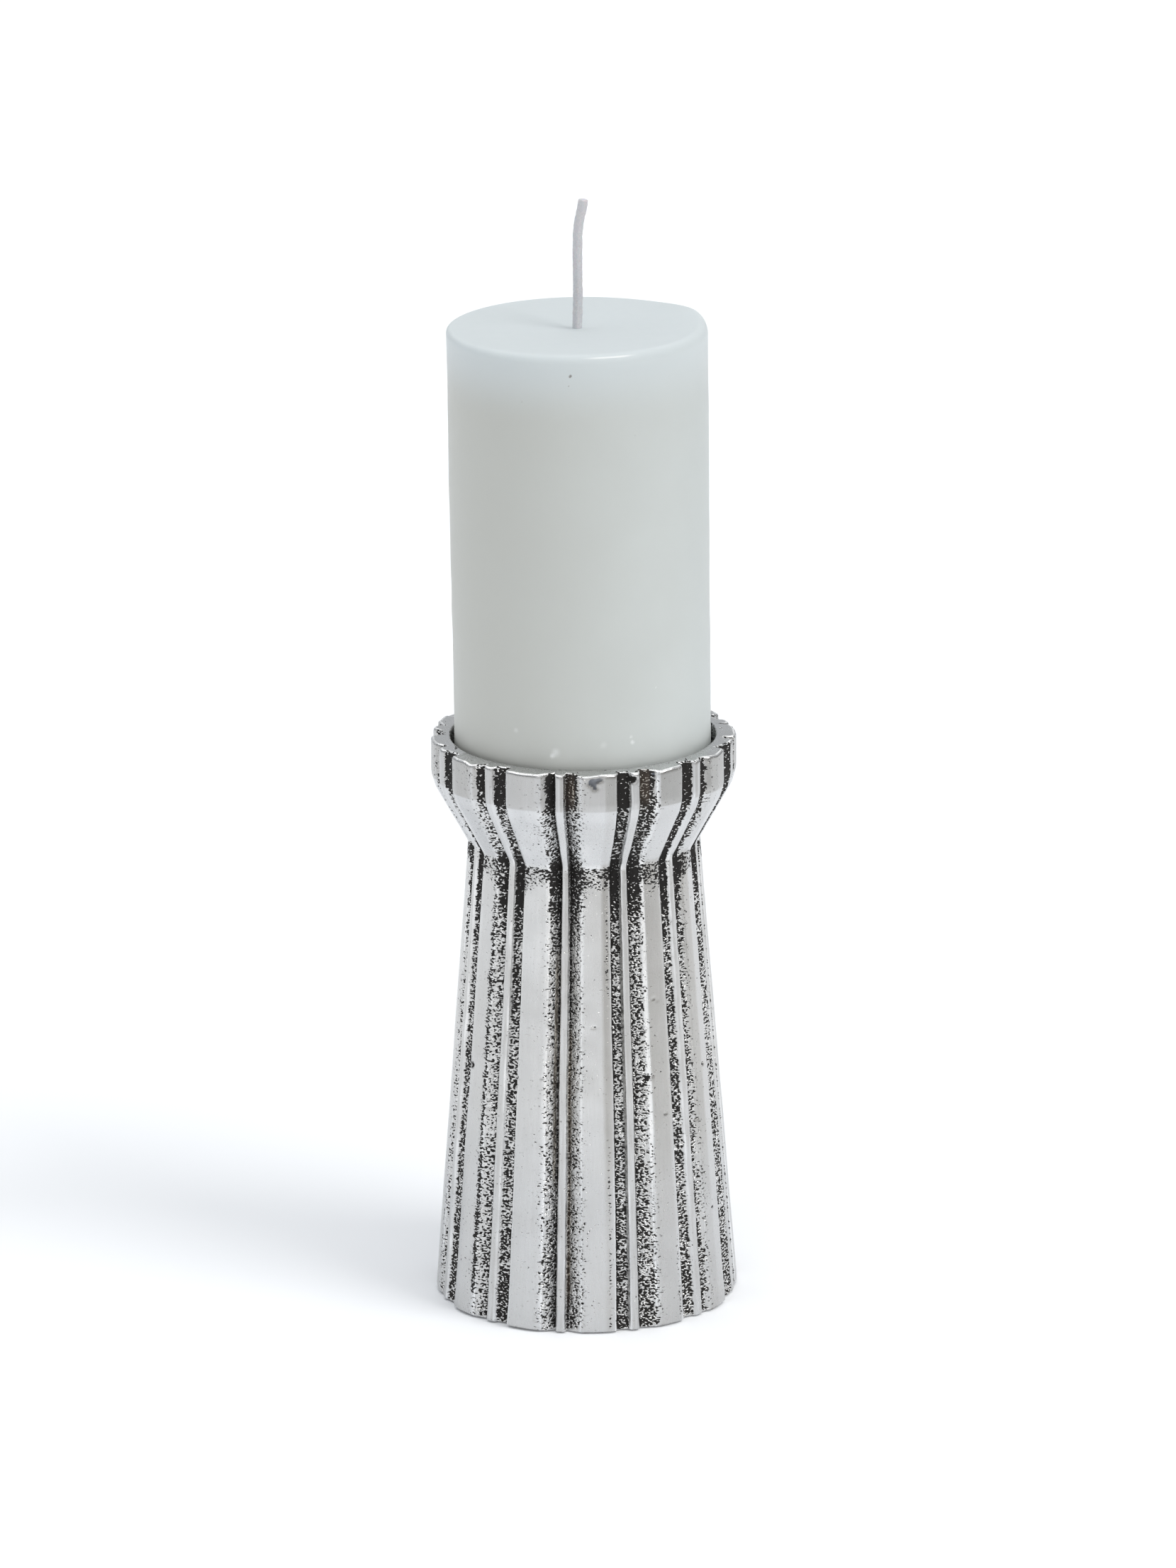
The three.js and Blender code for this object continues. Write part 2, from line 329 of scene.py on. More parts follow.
class Paint:
    """A node material: a Principled shader and short ways to feed it."""

    def __init__(self, name):
        self.material = bpy.data.materials.new(name)
        self.material.use_nodes = True
        self.nodes = self.material.node_tree.nodes
        self.links = self.material.node_tree.links
        self.shader = self.nodes["Principled BSDF"]
        self.place = self.new("TexCoord").outputs["Object"]

    def new(self, kind):
        return self.nodes.new("ShaderNode" + kind)

    def feed(self, socket, value):
        if hasattr(value, "is_output"):
            self.links.new(value, socket)
        elif isinstance(value, tuple) and len(value) == 3 and socket.type == "RGBA":
            socket.default_value = (*value, 1)
        else:
            socket.default_value = value

    def set(self, name, value):
        self.feed(self.shader.inputs[name], value)

    def attribute(self, name):
        node = self.new("Attribute")
        node.attribute_name = name
        return node.outputs["Fac"]

    def math(self, operation, a, b=0.0, c=0.0):
        node = self.new("Math")
        node.operation = operation
        for socket, value in zip(node.inputs, (a, b, c)):
            self.feed(socket, value)
        return node.outputs[0]

    def times(self, a, b):
        return self.math("MULTIPLY", a, b)

    def rest(self, value):
        """What is left of 1."""
        return self.math("SUBTRACT", 1.0, value)

    def parts(self, vector):
        node = self.new("SeparateXYZ")
        self.feed(node.inputs[0], vector)
        return node.outputs

    def stretched(self, scale):
        """Object coordinates, squeezed so that a pattern runs longer where scale is below 1."""
        node = self.new("Mapping")
        self.feed(node.inputs["Vector"], self.place)
        node.inputs["Scale"].default_value = scale
        return node.outputs[0]

    def noise(self, size, detail=2.0, stretch=None, distortion=0.0, roughness=0.5):
        """Noise with features of about that size, in metres."""
        node = self.new("TexNoise")
        self.feed(node.inputs["Vector"], self.stretched(stretch) if stretch else self.place)
        node.inputs["Scale"].default_value = 1 / size
        node.inputs["Detail"].default_value = detail
        node.inputs["Roughness"].default_value = roughness
        node.inputs["Distortion"].default_value = distortion
        return node.outputs["Fac"]

    def cells(self, size):
        """Distance to the nearest of scattered points about that far apart, and that point's colour."""
        node = self.new("TexVoronoi")
        self.feed(node.inputs["Vector"], self.place)
        node.inputs["Scale"].default_value = 1 / size
        return node.outputs["Distance"], node.outputs["Color"]

    def steps(self, low, high, value):
        """A soft step from 0 to 1 as value goes from low to high."""
        node = self.new("MapRange")
        node.interpolation_type = "SMOOTHSTEP"
        for socket, number in zip(("Value", "From Min", "From Max"), (value, low, high)):
            self.feed(node.inputs[socket], number)
        return node.outputs[0]

    def ramp(self, value, stops):
        node = self.new("ValToRGB")
        elements = node.color_ramp.elements
        while len(elements) < len(stops):
            elements.new(0.5)
        for element, (position, colour) in zip(elements, stops):
            element.position = position
            element.color = (*colour, 1)
        self.feed(node.inputs["Fac"], value)
        return node.outputs["Color"]

    def tint(self, amount, where, colour, onto):
        """Lays a colour onto another, by that amount at most, where a value says."""
        return self.mix(self.times(where, amount), onto, colour)

    def mix(self, amount, a, b):
        node = self.new("Mix")
        node.data_type = "RGBA"
        self.feed(node.inputs["Factor"], amount)
        self.feed(node.inputs[6], a)
        self.feed(node.inputs[7], b)
        return node.outputs[2]

    def bump(self, height, depth, onto=None):
        """Adds relief of that depth, in metres, and returns the normal."""
        node = self.new("Bump")
        node.inputs["Distance"].default_value = depth
        self.feed(node.inputs["Height"], height)
        if onto is not None:
            self.feed(node.inputs["Normal"], onto)
        self.feed(self.shader.inputs["Normal"], node.outputs[0])
        return node.outputs[0]


def patina_cover(paint):
    """How far the grain stands above what the patina covers there, and the share that it covers."""
    grain = paint.noise(size=0.00058, detail=0.5, distortion=0.35, stretch=(0.75, 0.75, 1.25))
    spread = 0.40
    threshold = paint.math("MULTIPLY_ADD", paint.attribute("patina"), -spread, 0.5 + spread / 2)
    over = paint.math("SUBTRACT", grain, threshold)
    return over, paint.steps(-0.025, 0.025, over)


def metal_colour(paint, shine, brown, over):
    """The bare metal: by its shine, which carries painted reflection, shade and highlights, warmer on the
    column, with clouds, pale grains and brown films.
    """
    metal = paint.ramp(shine, [
        (0.0, (0.10, 0.11, 0.13)),
        (0.14, (0.40, 0.397, 0.385)),
        (0.3, (0.46, 0.455, 0.445)),
        (0.7, (0.61, 0.615, 0.62)),
        (1.0, (0.97, 0.975, 0.98)),
    ])
    z = paint.parts(paint.place)[2]
    on_column = paint.times(paint.steps(0.025, 0.075, z), paint.steps(0.131, 0.128, z))
    metal = paint.tint(0.22, on_column, (0.63, 0.60, 0.545), metal)
    cloud = paint.noise(size=0.016, detail=3)
    metal = paint.tint(0.2, paint.steps(0.42, 0.68, cloud), (0.56, 0.55, 0.53), metal)
    unpolished = paint.rest(paint.attribute("polish"))
    pale = paint.times(unpolished, paint.steps(-0.16, -0.03, over))
    metal = paint.tint(0.85, pale, (0.98, 0.975, 0.965), metal)
    streaks = paint.noise(size=0.0005, detail=2, stretch=(1.0, 1.0, 0.05))
    film = paint.mix(paint.steps(0.38, 0.62, streaks), (0.13, 0.105, 0.08), (0.62, 0.57, 0.49))
    return paint.tint(0.85, brown, film, metal)


def aluminium_paint():
    """Hand-polished cast aluminium with a black-brown patina left in everything that polishing missed."""
    paint = Paint("cast_aluminium")
    # The shine attribute carries the metal's painted reflection, shade and highlights.
    shine = paint.attribute("shine")
    brown = paint.attribute("brown")
    over, covered = patina_cover(paint)

    metal = metal_colour(paint, shine, brown, over)
    soot = paint.mix(brown, (0.016, 0.0145, 0.0135), (0.055, 0.042, 0.033))
    paint.set("Base Color", paint.mix(covered, metal, soot))
    # Where the painted highlights are brightest the metal is partly not metallic, so that the lamps make them
    # brighter still.
    painted_highlight_not_metal = paint.times(paint.steps(0.90, 1.0, shine), 0.6)
    sooty = paint.times(covered, 0.95)
    paint.set("Metallic", paint.rest(paint.math("MAXIMUM", painted_highlight_not_metal, sooty)))
    paint.set("Specular IOR Level", 0.3)

    scratches = paint.noise(size=0.0007, detail=2, stretch=(1.0, 1.0, 0.06))
    smear = paint.noise(size=0.006, detail=3)
    sheen = paint.math("MULTIPLY_ADD", scratches, 0.14, 0.14)
    sheen = paint.math("MULTIPLY_ADD", smear, 0.12, sheen)
    paint.set("Roughness", paint.mix(covered, sheen, (0.7, 0.7, 0.7)))

    normal = paint.bump(paint.times(scratches, 0.25), 0.00003)
    raised = paint.rest(paint.steps(-0.12, 0.06, over))
    paint.bump(raised, 0.00018, onto=normal)
    return paint.material


def wax_colour(paint):
    """The wax, a little uneven, with tints by place that paint shade at its sides and light near its top."""
    cloud = paint.noise(size=0.03, detail=3)
    body = paint.ramp(cloud, [(0.3, (0.600, 0.632, 0.622)), (0.7, (0.632, 0.668, 0.660))])
    x, _, z = paint.parts(paint.place)
    body = paint.tint(0.85, paint.steps(0.032, -0.034, x), (0.555, 0.560, 0.525), body)  # painted shade: darker and warmer on the left
    body = paint.tint(0.7, paint.steps(0.022, 0.035, x), (0.565, 0.605, 0.60), body)  # painted shade: darker at the right
    body = paint.tint(0.75, paint.steps(0.252, 0.269, z), (0.67, 0.725, 0.745), body)  # painted light: paler and bluer near the top
    return paint.tint(0.85, paint.steps(0.2685, 0.2708, z), (0.595, 0.645, 0.665), body)  # and on the top itself a bluish tone, darker than just below it


def wax_spots(paint, body):
    """Pale bruises, dark specks, a little dust and a painted highlight line laid onto the wax."""
    mark = paint.attribute("mark")
    # The pale tint carries the bruises and also the painted highlight line along the candle's top edge.
    body = paint.tint(0.75, paint.steps(0.15, 0.8, mark), (0.90, 0.92, 0.92), body)
    speck = paint.steps(0.2, 0.6, paint.times(mark, -1.0))
    body = paint.tint(0.8, speck, (0.22, 0.20, 0.19), body)
    distance, colour = paint.cells(size=0.0085)
    picked = paint.steps(0.86, 0.88, paint.times(colour, 1.0))  # few of the points, by chance
    dust = paint.times(paint.rest(paint.steps(0.015, 0.03, distance)), picked)
    return paint.tint(0.5, dust, (0.30, 0.29, 0.27), body)


def wax_paint():
    """Satin paraffin wax, slightly see-through."""
    paint = Paint("paraffin_wax")
    paint.set("Base Color", wax_spots(paint, wax_colour(paint)))
    paint.set("Subsurface Weight", 0.45)
    paint.set("Subsurface Radius", (1.0, 1.0, 0.95))
    paint.set("Subsurface Scale", 0.004)
    smear = paint.noise(size=0.004, detail=3)
    paint.set("Roughness", paint.math("MULTIPLY_ADD", smear, 0.18, 0.36))
    paint.set("IOR", 1.44)
    paint.set("Specular IOR Level", 0.25)
    ripple = paint.noise(size=0.006, detail=4, roughness=0.6)
    paint.bump(ripple, 0.00008)
    return paint.material


def cotton_paint():
    """Braided cotton soaked in wax, so only a soft trace of the braid shows."""
    paint = Paint("waxed_cotton")
    fibre = paint.noise(size=0.0004, detail=3, distortion=0.6)
    blotch = paint.noise(size=0.003, detail=2)
    body = paint.ramp(fibre, [(0.3, (0.52, 0.52, 0.55)), (0.7, (0.66, 0.66, 0.68))])
    paint.set("Base Color", paint.mix(paint.times(blotch, 0.35), body, (0.76, 0.77, 0.79)))
    paint.set("Roughness", paint.math("MULTIPLY_ADD", fibre, 0.2, 0.55))
    paint.set("Subsurface Weight", 0.2)
    paint.set("Subsurface Scale", 0.0008)
    paint.bump(fibre, 0.00008)
    return paint.material


def felt_paint():
    paint = Paint("pressed_felt")
    fibre = paint.noise(size=0.0006, detail=4, distortion=1.5)
    paint.set("Base Color", paint.ramp(fibre, [(0.3, (0.018, 0.018, 0.019)), (0.7, (0.05, 0.05, 0.052))]))
    paint.set("Roughness", 0.95)
    paint.set("Sheen Weight", 0.3)
    paint.bump(fibre, 0.0002)
    return paint.material


def steel_paint():
    paint = Paint("tinned_steel")
    smear = paint.noise(size=0.002, detail=3, stretch=(1.0, 0.15, 1.0))
    paint.set("Base Color", paint.ramp(smear, [(0.3, (0.60, 0.61, 0.62)), (0.7, (0.70, 0.71, 0.72))]))
    paint.set("Metallic", 1.0)
    paint.set("Roughness", paint.math("MULTIPLY_ADD", smear, 0.2, 0.22))
    paint.bump(smear, 0.00002)
    return paint.material


# ---------- the casting


def section_knots():
    """The section as angles and heights: 0 is the bottom of the grooves and 1 the crown line.

    Between a flute and a rib the casting runs as one slope, deepest at the foot of the steep side.
    """
    knots = []
    for i, flute in enumerate(FLUTES):
        following = FLUTES[(i + 1) % len(FLUTES)]
        next_start = following.start + (360 if following is FLUTES[0] else 0)
        rise = flute.crown / GROOVE_DEPTH
        end = flute.start + flute.width
        rib = flute.start + flute.rib
        half = flute.rib_width / 2
        knots += [
            (flute.start, 0.86 + rise),
            (flute.start + 1.0, 1.0 + rise),
            (flute.start + flute.fold * flute.width, 1.06 + rise),
            (end - 1.0, 0.97 + rise),
            (end, 0.86 + rise),
            (end + STEP, 0.05 if flute.right_steep else 0.80 + rise),
            (rib - half - STEP, flute.left_channel),
            (rib - half, 0.80),
            (rib - half * 0.65, 0.96),
            (rib, 1.0),
            (rib + half * 0.65, 0.96),
            (rib + half, 0.80),
            (rib + half + STEP, flute.right_channel),
            (next_start - STEP, 0.05 if following.left_steep else 0.80),
        ]
    return np.array(knots).T


def turn_from(start, angles):
    """How far each angle is to the right of a start angle, from -180 to 180."""
    return np.mod(angles - start + 180, 360) - 180


def offsets(angles, flute):
    return turn_from(flute.start, angles)


def from_rib(angles, flute):
    """How far each angle is from the middle of a flute's rib, where 1 is the rib's edge."""
    return np.abs(offsets(angles, flute) - flute.rib) / (flute.rib_width / 2)


def column_angles():
    """Angles of the mesh columns: one on each knot, close together where the casting is rough."""
    knots, heights = section_knots()
    knots = np.append(knots, knots[0] + 360)
    heights = np.append(heights, heights[0])
    angles = []
    for left, right, low, high in zip(knots[:-1], knots[1:], heights[:-1], heights[1:]):
        polished = min(low, high) > 0.95 and right - left > 2
        count = max(1, round((right - left) / (0.8 if polished else 0.36)))
        angles += list(left + (right - left) * np.arange(count) / count)
    return np.array(angles)


def crown_radius(z):
    """Radius of the crown line: straight sides in to the neck, a flare that eases off, an upright band."""
    corners_z = [0, NECK_Z, BAND_Z - 2.8, BAND_Z + 0.9, RIM_Z]
    corners_r = [FOOT_RADIUS, NECK_RADIUS, RIM_RADIUS - 1.05, RIM_RADIUS, RIM_RADIUS]
    softening = np.linspace(-0.8, 0.8, 9)
    return np.mean([np.interp(z + step, corners_z, corners_r) for step in softening], axis=0)


def periodic(angle, knots, values):
    """Straight lines between knots round the whole circle."""
    angle = knots[0] + np.mod(angle - knots[0], 360)
    return np.interp(angle, np.append(knots, knots[0] + 360), np.append(values, values[0]))


def spread_at_foot(angles, z):
    """How far each column moves to the left, in degrees, where the flutes widen at the foot."""
    knots, moves = [], []
    for flute in FLUTES:
        rib_end = flute.start + flute.rib + flute.rib_width / 2
        knots += [flute.start, flute.start + 0.25 * flute.width, rib_end]
        moves += [1.0, 0.0, 0.0]
    near_foot = np.clip(1 - z / FOOT_SPREAD_HEIGHT, 0, 1)[:, None]
    return FOOT_SPREAD * near_foot * periodic(angles, knots, moves)[None, :]


def polish_field(angles, base, z):
    """How far polishing reached, from 0 to 1: over the flutes and ribs, with ragged edges on the slopes."""
    ragged = 0.6 * noise(base, 3.2, 21) + 0.8 * noise(base, 1.1, 22)
    ragged = ragged * (1.7 - 0.7 * smooth(20, 60, z))[:, None]  # more so near the foot
    on_band = smooth(BAND_Z - 1, BAND_Z + 1, z)[:, None]
    polish = np.zeros(base.shape[:2])
    for flute in FLUTES:
        a = offsets(angles, flute)[None, :]
        beyond = a - flute.width
        if flute.left_steep:
            left = smooth(-0.3, 0.2, a)
        else:
            left = smooth(-0.8, 0.3, a + ragged + 0.5 * on_band)
        if flute.right_steep:
            right = smooth(-0.3, 0.2, -beyond)
        else:
            right = smooth(-0.6, 0.5, ragged - beyond + 1.5 * on_band)
        on_rib = 1 - smooth(1.0, 1.2, from_rib(angles, flute)[None, :] + 0.05 * ragged)
        polish = np.maximum(polish, np.maximum(left * right, on_rib))
    return polish


def ribs(angles):
    """1 on the middle of each rib, falling to 0 beside it."""
    return sum(1 - smooth(0.9, 1.3, from_rib(angles, flute)) for flute in FLUTES)


def neck_dirt(base, z):
    """Specks of patina left on the flutes just below the neck, from 0 to 1."""
    heights = z[:, None] - 2.5 * noise(base * (1, 1, 0), 3.0, 23)
    return smooth(NECK_Z - 8, NECK_Z - 3.5, heights) * (1 - smooth(NECK_Z - 0.3, NECK_Z + 0.9, z))[:, None]


# Rows of pits along a flute: angle, half-width in degrees, lowest and highest height in mm.
PIT_ROWS = [(9.9, 0.5, -5, 52), (10.2, 0.7, 92, 128), (-48.5, 1.2, 8, 120), (26.5, 0.8, 0, 30),
            (38.6, 0.5, 0, 24), (205.0, 0.6, 10, 60)]


def pit_field(angles, z):
    """Where stray pits gather, from 0 to 1."""
    pits = np.zeros((len(z), len(angles)))
    for angle, half, low, high in PIT_ROWS:
        across = bell(0, half, turn_from(angle, angles))[None, :]
        pits += across * (smooth(low - 5, low + 5, z) * (1 - smooth(high - 5, high + 5, z)))[:, None]
    return pits


# How much of the unpolished metal the patina covers: height in mm, share covered.
PATINA_BY_HEIGHT = [(0, 0.62), (6, 0.56), (20, 0.50), (40, 0.44), (80, 0.44), (104, 0.49), (114, 0.62),
                    (120, 0.88), (129, 1.05), (132, 0.78), (138, 0.58), (146, 0.56), (149, 1.00), (159, 1.10)]

# How much more or less it covers round the holder: angle, change in the share covered.
PATINA_BY_GAP = [(-75, 0.0), (-65, 0.14), (-57, 0.0), (-49, -0.14), (-43, 0.0), (-35, 0.07), (-25, 0.0),
                 (-14, -0.06), (-10, -0.10), (-6, -0.16), (5, 0.0), (25, 0.0), (43, 0.10), (53, 0.06),
                 (60, 0.0), (150, 0.05), (220, -0.05)]


def patina_beside(angles):
    """How much more patina lies beside each flute and rib, partly painted shade at the foot of steep sides,
    and how far it spills onto the flutes.
    """
    more = np.zeros(len(angles))
    spill = np.zeros(len(angles))
    for flute in FLUTES:
        a = offsets(angles, flute)
        beyond = a - flute.width
        left_slope = 1 - flute.left_steep
        right_slope = 1 - flute.right_steep
        half = flute.rib_width / 2
        # Denser at the foot of steep sides and beside low channels: patina gathered in the corner, and
        # painted shade there.
        more += (0.50 * bell(-STEP, 0.8, a) * flute.left_steep
                 + 0.50 * bell(STEP, 0.8, beyond) * flute.right_steep)
        more += 0.60 * bell(flute.rib - half - STEP, 0.5, a) * (flute.left_channel < 0.2)
        more += 0.60 * bell(flute.rib + half + STEP, 0.5, a) * (flute.right_channel < 0.2)
        more -= 0.12 * bell(-0.4, 1.4, a) * left_slope + 0.12 * bell(0.6, 1.4, beyond) * right_slope
        spill += bell(0.5, 2.6, a) * left_slope + bell(-0.5, 2.6, beyond) * right_slope
    return more, np.clip(spill, 0, 1)


def unpolished_share(angles, base, z, more):
    """The share of the unpolished metal that the patina covers."""
    heights, shares = zip(*PATINA_BY_HEIGHT)
    share = np.interp(z, heights, shares)[:, None] + 0.10 * noise(base, 5.5, 31) + 0.08 * noise(base, 2.2, 32)
    share = share + periodic(angles, *np.array(PATINA_BY_GAP).T)[None, :]
    on_flare = smooth(NECK_Z + 1, NECK_Z + 4, z) * (1 - smooth(BAND_Z - 2, BAND_Z, z))
    one_sided = 0.22 * np.sin(np.radians(angles))[None, :]
    share = share + more[None, :] - 0.30 * brown_field(angles, base, z) + on_flare[:, None] * one_sided
    return np.clip(share, 0.1, 1)


def patina_field(angles, base, z, polish):
    """How densely the patina lies: most at the foot of steep sides, where part of it is painted shade, least
    where a slope meets a flute.

    Where it is below 0 the metal is clean.
    """
    more, spill = patina_beside(angles)
    share = unpolished_share(angles, base, z, more)
    spill = spill[None, :] * (0.46 - 0.12 * smooth(20, 60, z))[:, None]
    clean = -0.35 + spill + 0.12 * noise(base, 4.0, 33)
    dirt = (0.78 + 0.2 * noise(base, 3.0, 34)) * (1 - 0.85 * ribs(angles))[None, :]
    clean = clean + 0.72 * pit_field(angles, z) + dirt * neck_dirt(base, z)
    lip = smooth(0.2, 1.4, z[:, None] + 0.5 * noise(base * (1, 1, 0), 4.0, 38))  # the foot's edge is bare
    return ((1 - polish) * share + polish * clean) * lip - 0.2 * (1 - lip)


# Where a brown film hides the grain: angle, half-width in degrees, lowest and highest height in mm.
BROWN_FILMS = [(-13.6, 0.6, 42, 104), (-7.0, 0.6, 8, 84), (-6.5, 2.4, 149, 157), (23.5, 2.2, 149, 158),
               (165.0, 1.5, 30, 120), (224.0, 1.2, 20, 80)]


def brown_field(angles, base, z):
    """How thick the brown film is, from 0 to 1."""
    film = np.zeros(base.shape[:2])
    for angle, half, low, high in BROWN_FILMS:
        across = (1 - smooth(0.8, 1.3, np.abs(turn_from(angle, angles)) / half))[None, :]
        up = (smooth(low - 4, low + 4, z) * (1 - smooth(high - 4, high + 4, z)))[:, None]
        film = np.maximum(film, across * up)
    return np.clip(film * (0.85 + 0.5 * noise(base * (1, 1, 0.15), 1.2, 37)), 0, 1)


def shine_across(angles):
    """How bright each face is painted round the holder, as painted reflection and shade by the way it turns,
    and where painted highlights run along its edges.
    """
    shine = np.full(len(angles), 0.60)
    edges = np.zeros(len(angles))
    for flute in FLUTES:
        a = offsets(angles, flute)
        fold = flute.fold * flute.width
        face = flute.left_shine + (flute.right_shine - flute.left_shine) * smooth(fold - 0.25, fold + 0.25, a)
        shine = np.where((a > -0.4) & (a < flute.width + 0.4), face, shine)
        # Painted highlights along the edges of the flutes and ribs.
        edges += bell(0.35, 0.3, a) * (1.0 if flute.left_steep else 0.5)
        edges += bell(flute.width - 0.35, 0.3, a) * (1.0 if flute.right_steep else 0.5)
        edges += 0.45 * bell(flute.rib_width / 2 - 0.2, 0.3, np.abs(a - flute.rib))
        edges += 0.35 * bell(flute.width - 1.2, 0.7, a)
    return shine, np.clip(edges, 0, 1)


def shine_field(angles, base, z):
    """How bright the metal is painted, from 0 to 1: painted reflection and shade that change at each flute's
    fold, painted highlights along edges, painted shade by height, a darker band and dents painted dark as a
    reflection.
    """
    shine, edges = shine_across(angles)
    # Painted shade by height: toward the foot the faces' tones draw together toward one darker tone, and
    # above 85 mm they are lit a little more.
    low = 1 - smooth(30, 62, z)[:, None]
    shine = shine[None, :] + (0.54 - shine[None, :]) * 0.7 * low
    shine = shine + (0.08 * smooth(85, 110, z) - 0.03)[:, None]
    # The painted edge highlights, uneven in strength along the edges.
    edge_highlight_strength = 0.50 + 0.25 * noise(base * (1, 1, 0.4), 3.0, 39)
    shine = shine + edge_highlight_strength * edges[None, :]
    on_band = smooth(BAND_Z - 0.3, BAND_Z + 0.3, z)[:, None]
    on_flare = smooth(NECK_Z + 0.5, NECK_Z + 2, z)[:, None] * (1 - on_band)
    shine = shine + on_flare * 0.8 * (0.69 - shine) - 0.38 * on_band
    on_rib = ribs(angles)[None, :]
    streaks = 0.2 * on_rib * noise(base * (1, 1, 0.03), 0.5, 40) * (1 - on_flare)
    shine = shine + 0.05 * noise(base, 5.0, 35) + streaks
    shine = shine + 0.12 * on_rib * on_band
    # The dents are painted dark: a painted reflection of the room's dark side.
    return np.clip(np.maximum(shine, 0.17) - 2.6 * dent_field(base), 0, 1)


# Shallow dents, which the metal's colour paints dark as a reflection of the room's dark side: angle, height,
# size and depth in mm.
DENTS = [(3.6, 156.5, 1.4, 0.30), (6.2, 157.2, 0.8, 0.25), (4.4, 154.8, 0.8, 0.20), (27.5, 157.0, 1.0, 0.15)]


def dent_field(base):
    """Depth of the dents, in mm."""
    depth = np.zeros(base.shape[:2])
    for angle, z, size, deep in DENTS:
        spot = around(crown_radius(np.array(z)), angle, z)
        near = np.linalg.norm(base - spot, axis=-1) / size
        depth += deep * np.exp(-(near ** 4))
    return depth


# Nicks and pits that polishing left: angle, height, size and depth in mm.
FLAWS = [
    (18.7, 156.5, 1.0, 1.3), (16.4, 157.5, 0.9, 0.5), (24.0, 158.0, 0.6, 0.35), (29.0, 158.2, 0.5, 0.3),
    (-57.9, 70.2, 1.1, 0.7), (-30.2, 70.4, 0.55, 0.4), (28.0, 70.2, 0.8, 0.5), (30.2, 70.7, 0.4, 0.3),
    (61.5, 69.5, 0.8, 0.4), (60.8, 28.9, 0.6, 0.35), (-56.2, 25.8, 0.45, 0.3), (32.6, 92.0, 0.35, 0.3),
    (34.4, 91.3, 0.3, 0.25), (36.0, 59.5, 0.5, 0.3), (34.6, 60.5, 0.3, 0.25), (4.0, 85.6, 0.4, 0.25),
    (54.9, 55.0, 0.5, 0.3), (-18.6, 71.2, 0.35, 0.3), (160.0, 96.0, 0.6, 0.4), (214.0, 40.0, 0.5, 0.4),
    (100.0, 120.0, 0.5, 0.3),
]


def flaw_field(base):
    """Depth of the nicks, in mm."""
    depth = np.zeros(base.shape[:2])
    for angle, z, size, deep in FLAWS:
        spot = around(crown_radius(np.array(z)), angle, z)
        near = np.linalg.norm((base - spot) * (1, 1, 1.5), axis=-1) / size
        close = near < 3
        rough = noise(base[close], 0.5 * size, 36)
        depth[close] += deep * np.exp(-((near[close] + 0.25 * rough) ** 2))
    return depth


def casting_outside(angles, z):
    """Radius and angles of the fluted outside, with the fields that its material reads."""
    straight = around(crown_radius(z)[:, None], angles[None, :], z[:, None])
    wander = 0.20 * noise(straight * (1, 1, 0.4), 9.0, 11) + 0.10 * noise(straight, 2.5, 12)
    skew = periodic(angles, *np.array(SKEW).T)[None, :] * (np.minimum(z, NECK_Z) / NECK_Z - 0.5)[:, None]
    turned = angles[None, :] + wander + skew - spread_at_foot(angles, z)
    base = around(crown_radius(z)[:, None], turned, z[:, None])

    height = periodic(angles, *section_knots())[None, :]
    polish = polish_field(angles, base, z)
    flaws = flaw_field(base)
    patina = np.minimum(patina_field(angles, base, z, polish) + 2.8 * flaws, 1.15)
    brown = brown_field(angles, base, z) * (1 - polish)
    shine = shine_field(angles, base, z)

    lumps = noise(base, 1.0, 41) + 0.8 * noise(base, 0.55, 42)
    hand = 0.07 * noise(base, 16.0, 43) + 0.03 * noise(base, 5.0, 44)
    rough = (1 - polish) * (1 - 0.75 * smooth(BAND_Z, BAND_Z + 2, z))[:, None]
    run_out = smooth(-1.0, 3.0 + 1.6 * noise(base * (1, 1, 0), 6.0, 45), z[:, None])
    relief = GROOVE_DEPTH * (1 - height) * (0.35 + 0.65 * run_out)
    relief = relief - hand - 0.10 * lumps * rough + flaws + dent_field(base)
    radius = crown_radius(z)[:, None] - relief
    return radius, turned, (polish, patina, shine, brown)


def hollow_profile():
    """Radius and height of the casting's hollow underside, from its ceiling down to the foot."""
    top = CUP_FLOOR_Z - WALL
    neck = NECK_RADIUS - GROOVE_DEPTH - WALL
    foot = FOOT_RADIUS - GROOVE_DEPTH - WALL - 0.4
    rebate = FELT_OUTER + GAP
    rebate_top = felt_high[2] + GAP
    profile = [(r, top) for r in np.linspace(1, neck + 3, 10)]
    widening = [NECK_Z - 4, top]
    profile += [(np.interp(z, widening, [neck, neck + 4]), z) for z in np.linspace(top - 1, NECK_Z - 4, 8)]
    profile += [(np.interp(z, [9, NECK_Z - 4], [foot, neck]), z) for z in np.linspace(NECK_Z - 7, 9, 46)]
    profile += [(np.interp(z, [6, 9], [FELT_INNER, foot]), z) for z in (8, 7, 6.2)]
    profile += [(FELT_INNER, z) for z in (5.6, 4, 2.8, rebate_top + 0.3)]
    profile += [(FELT_INNER + 0.3, rebate_top), (rebate - 0.2, rebate_top)]
    return profile + [(rebate, rebate_top - 0.2), (rebate, FOOT_Z + 0.2)]


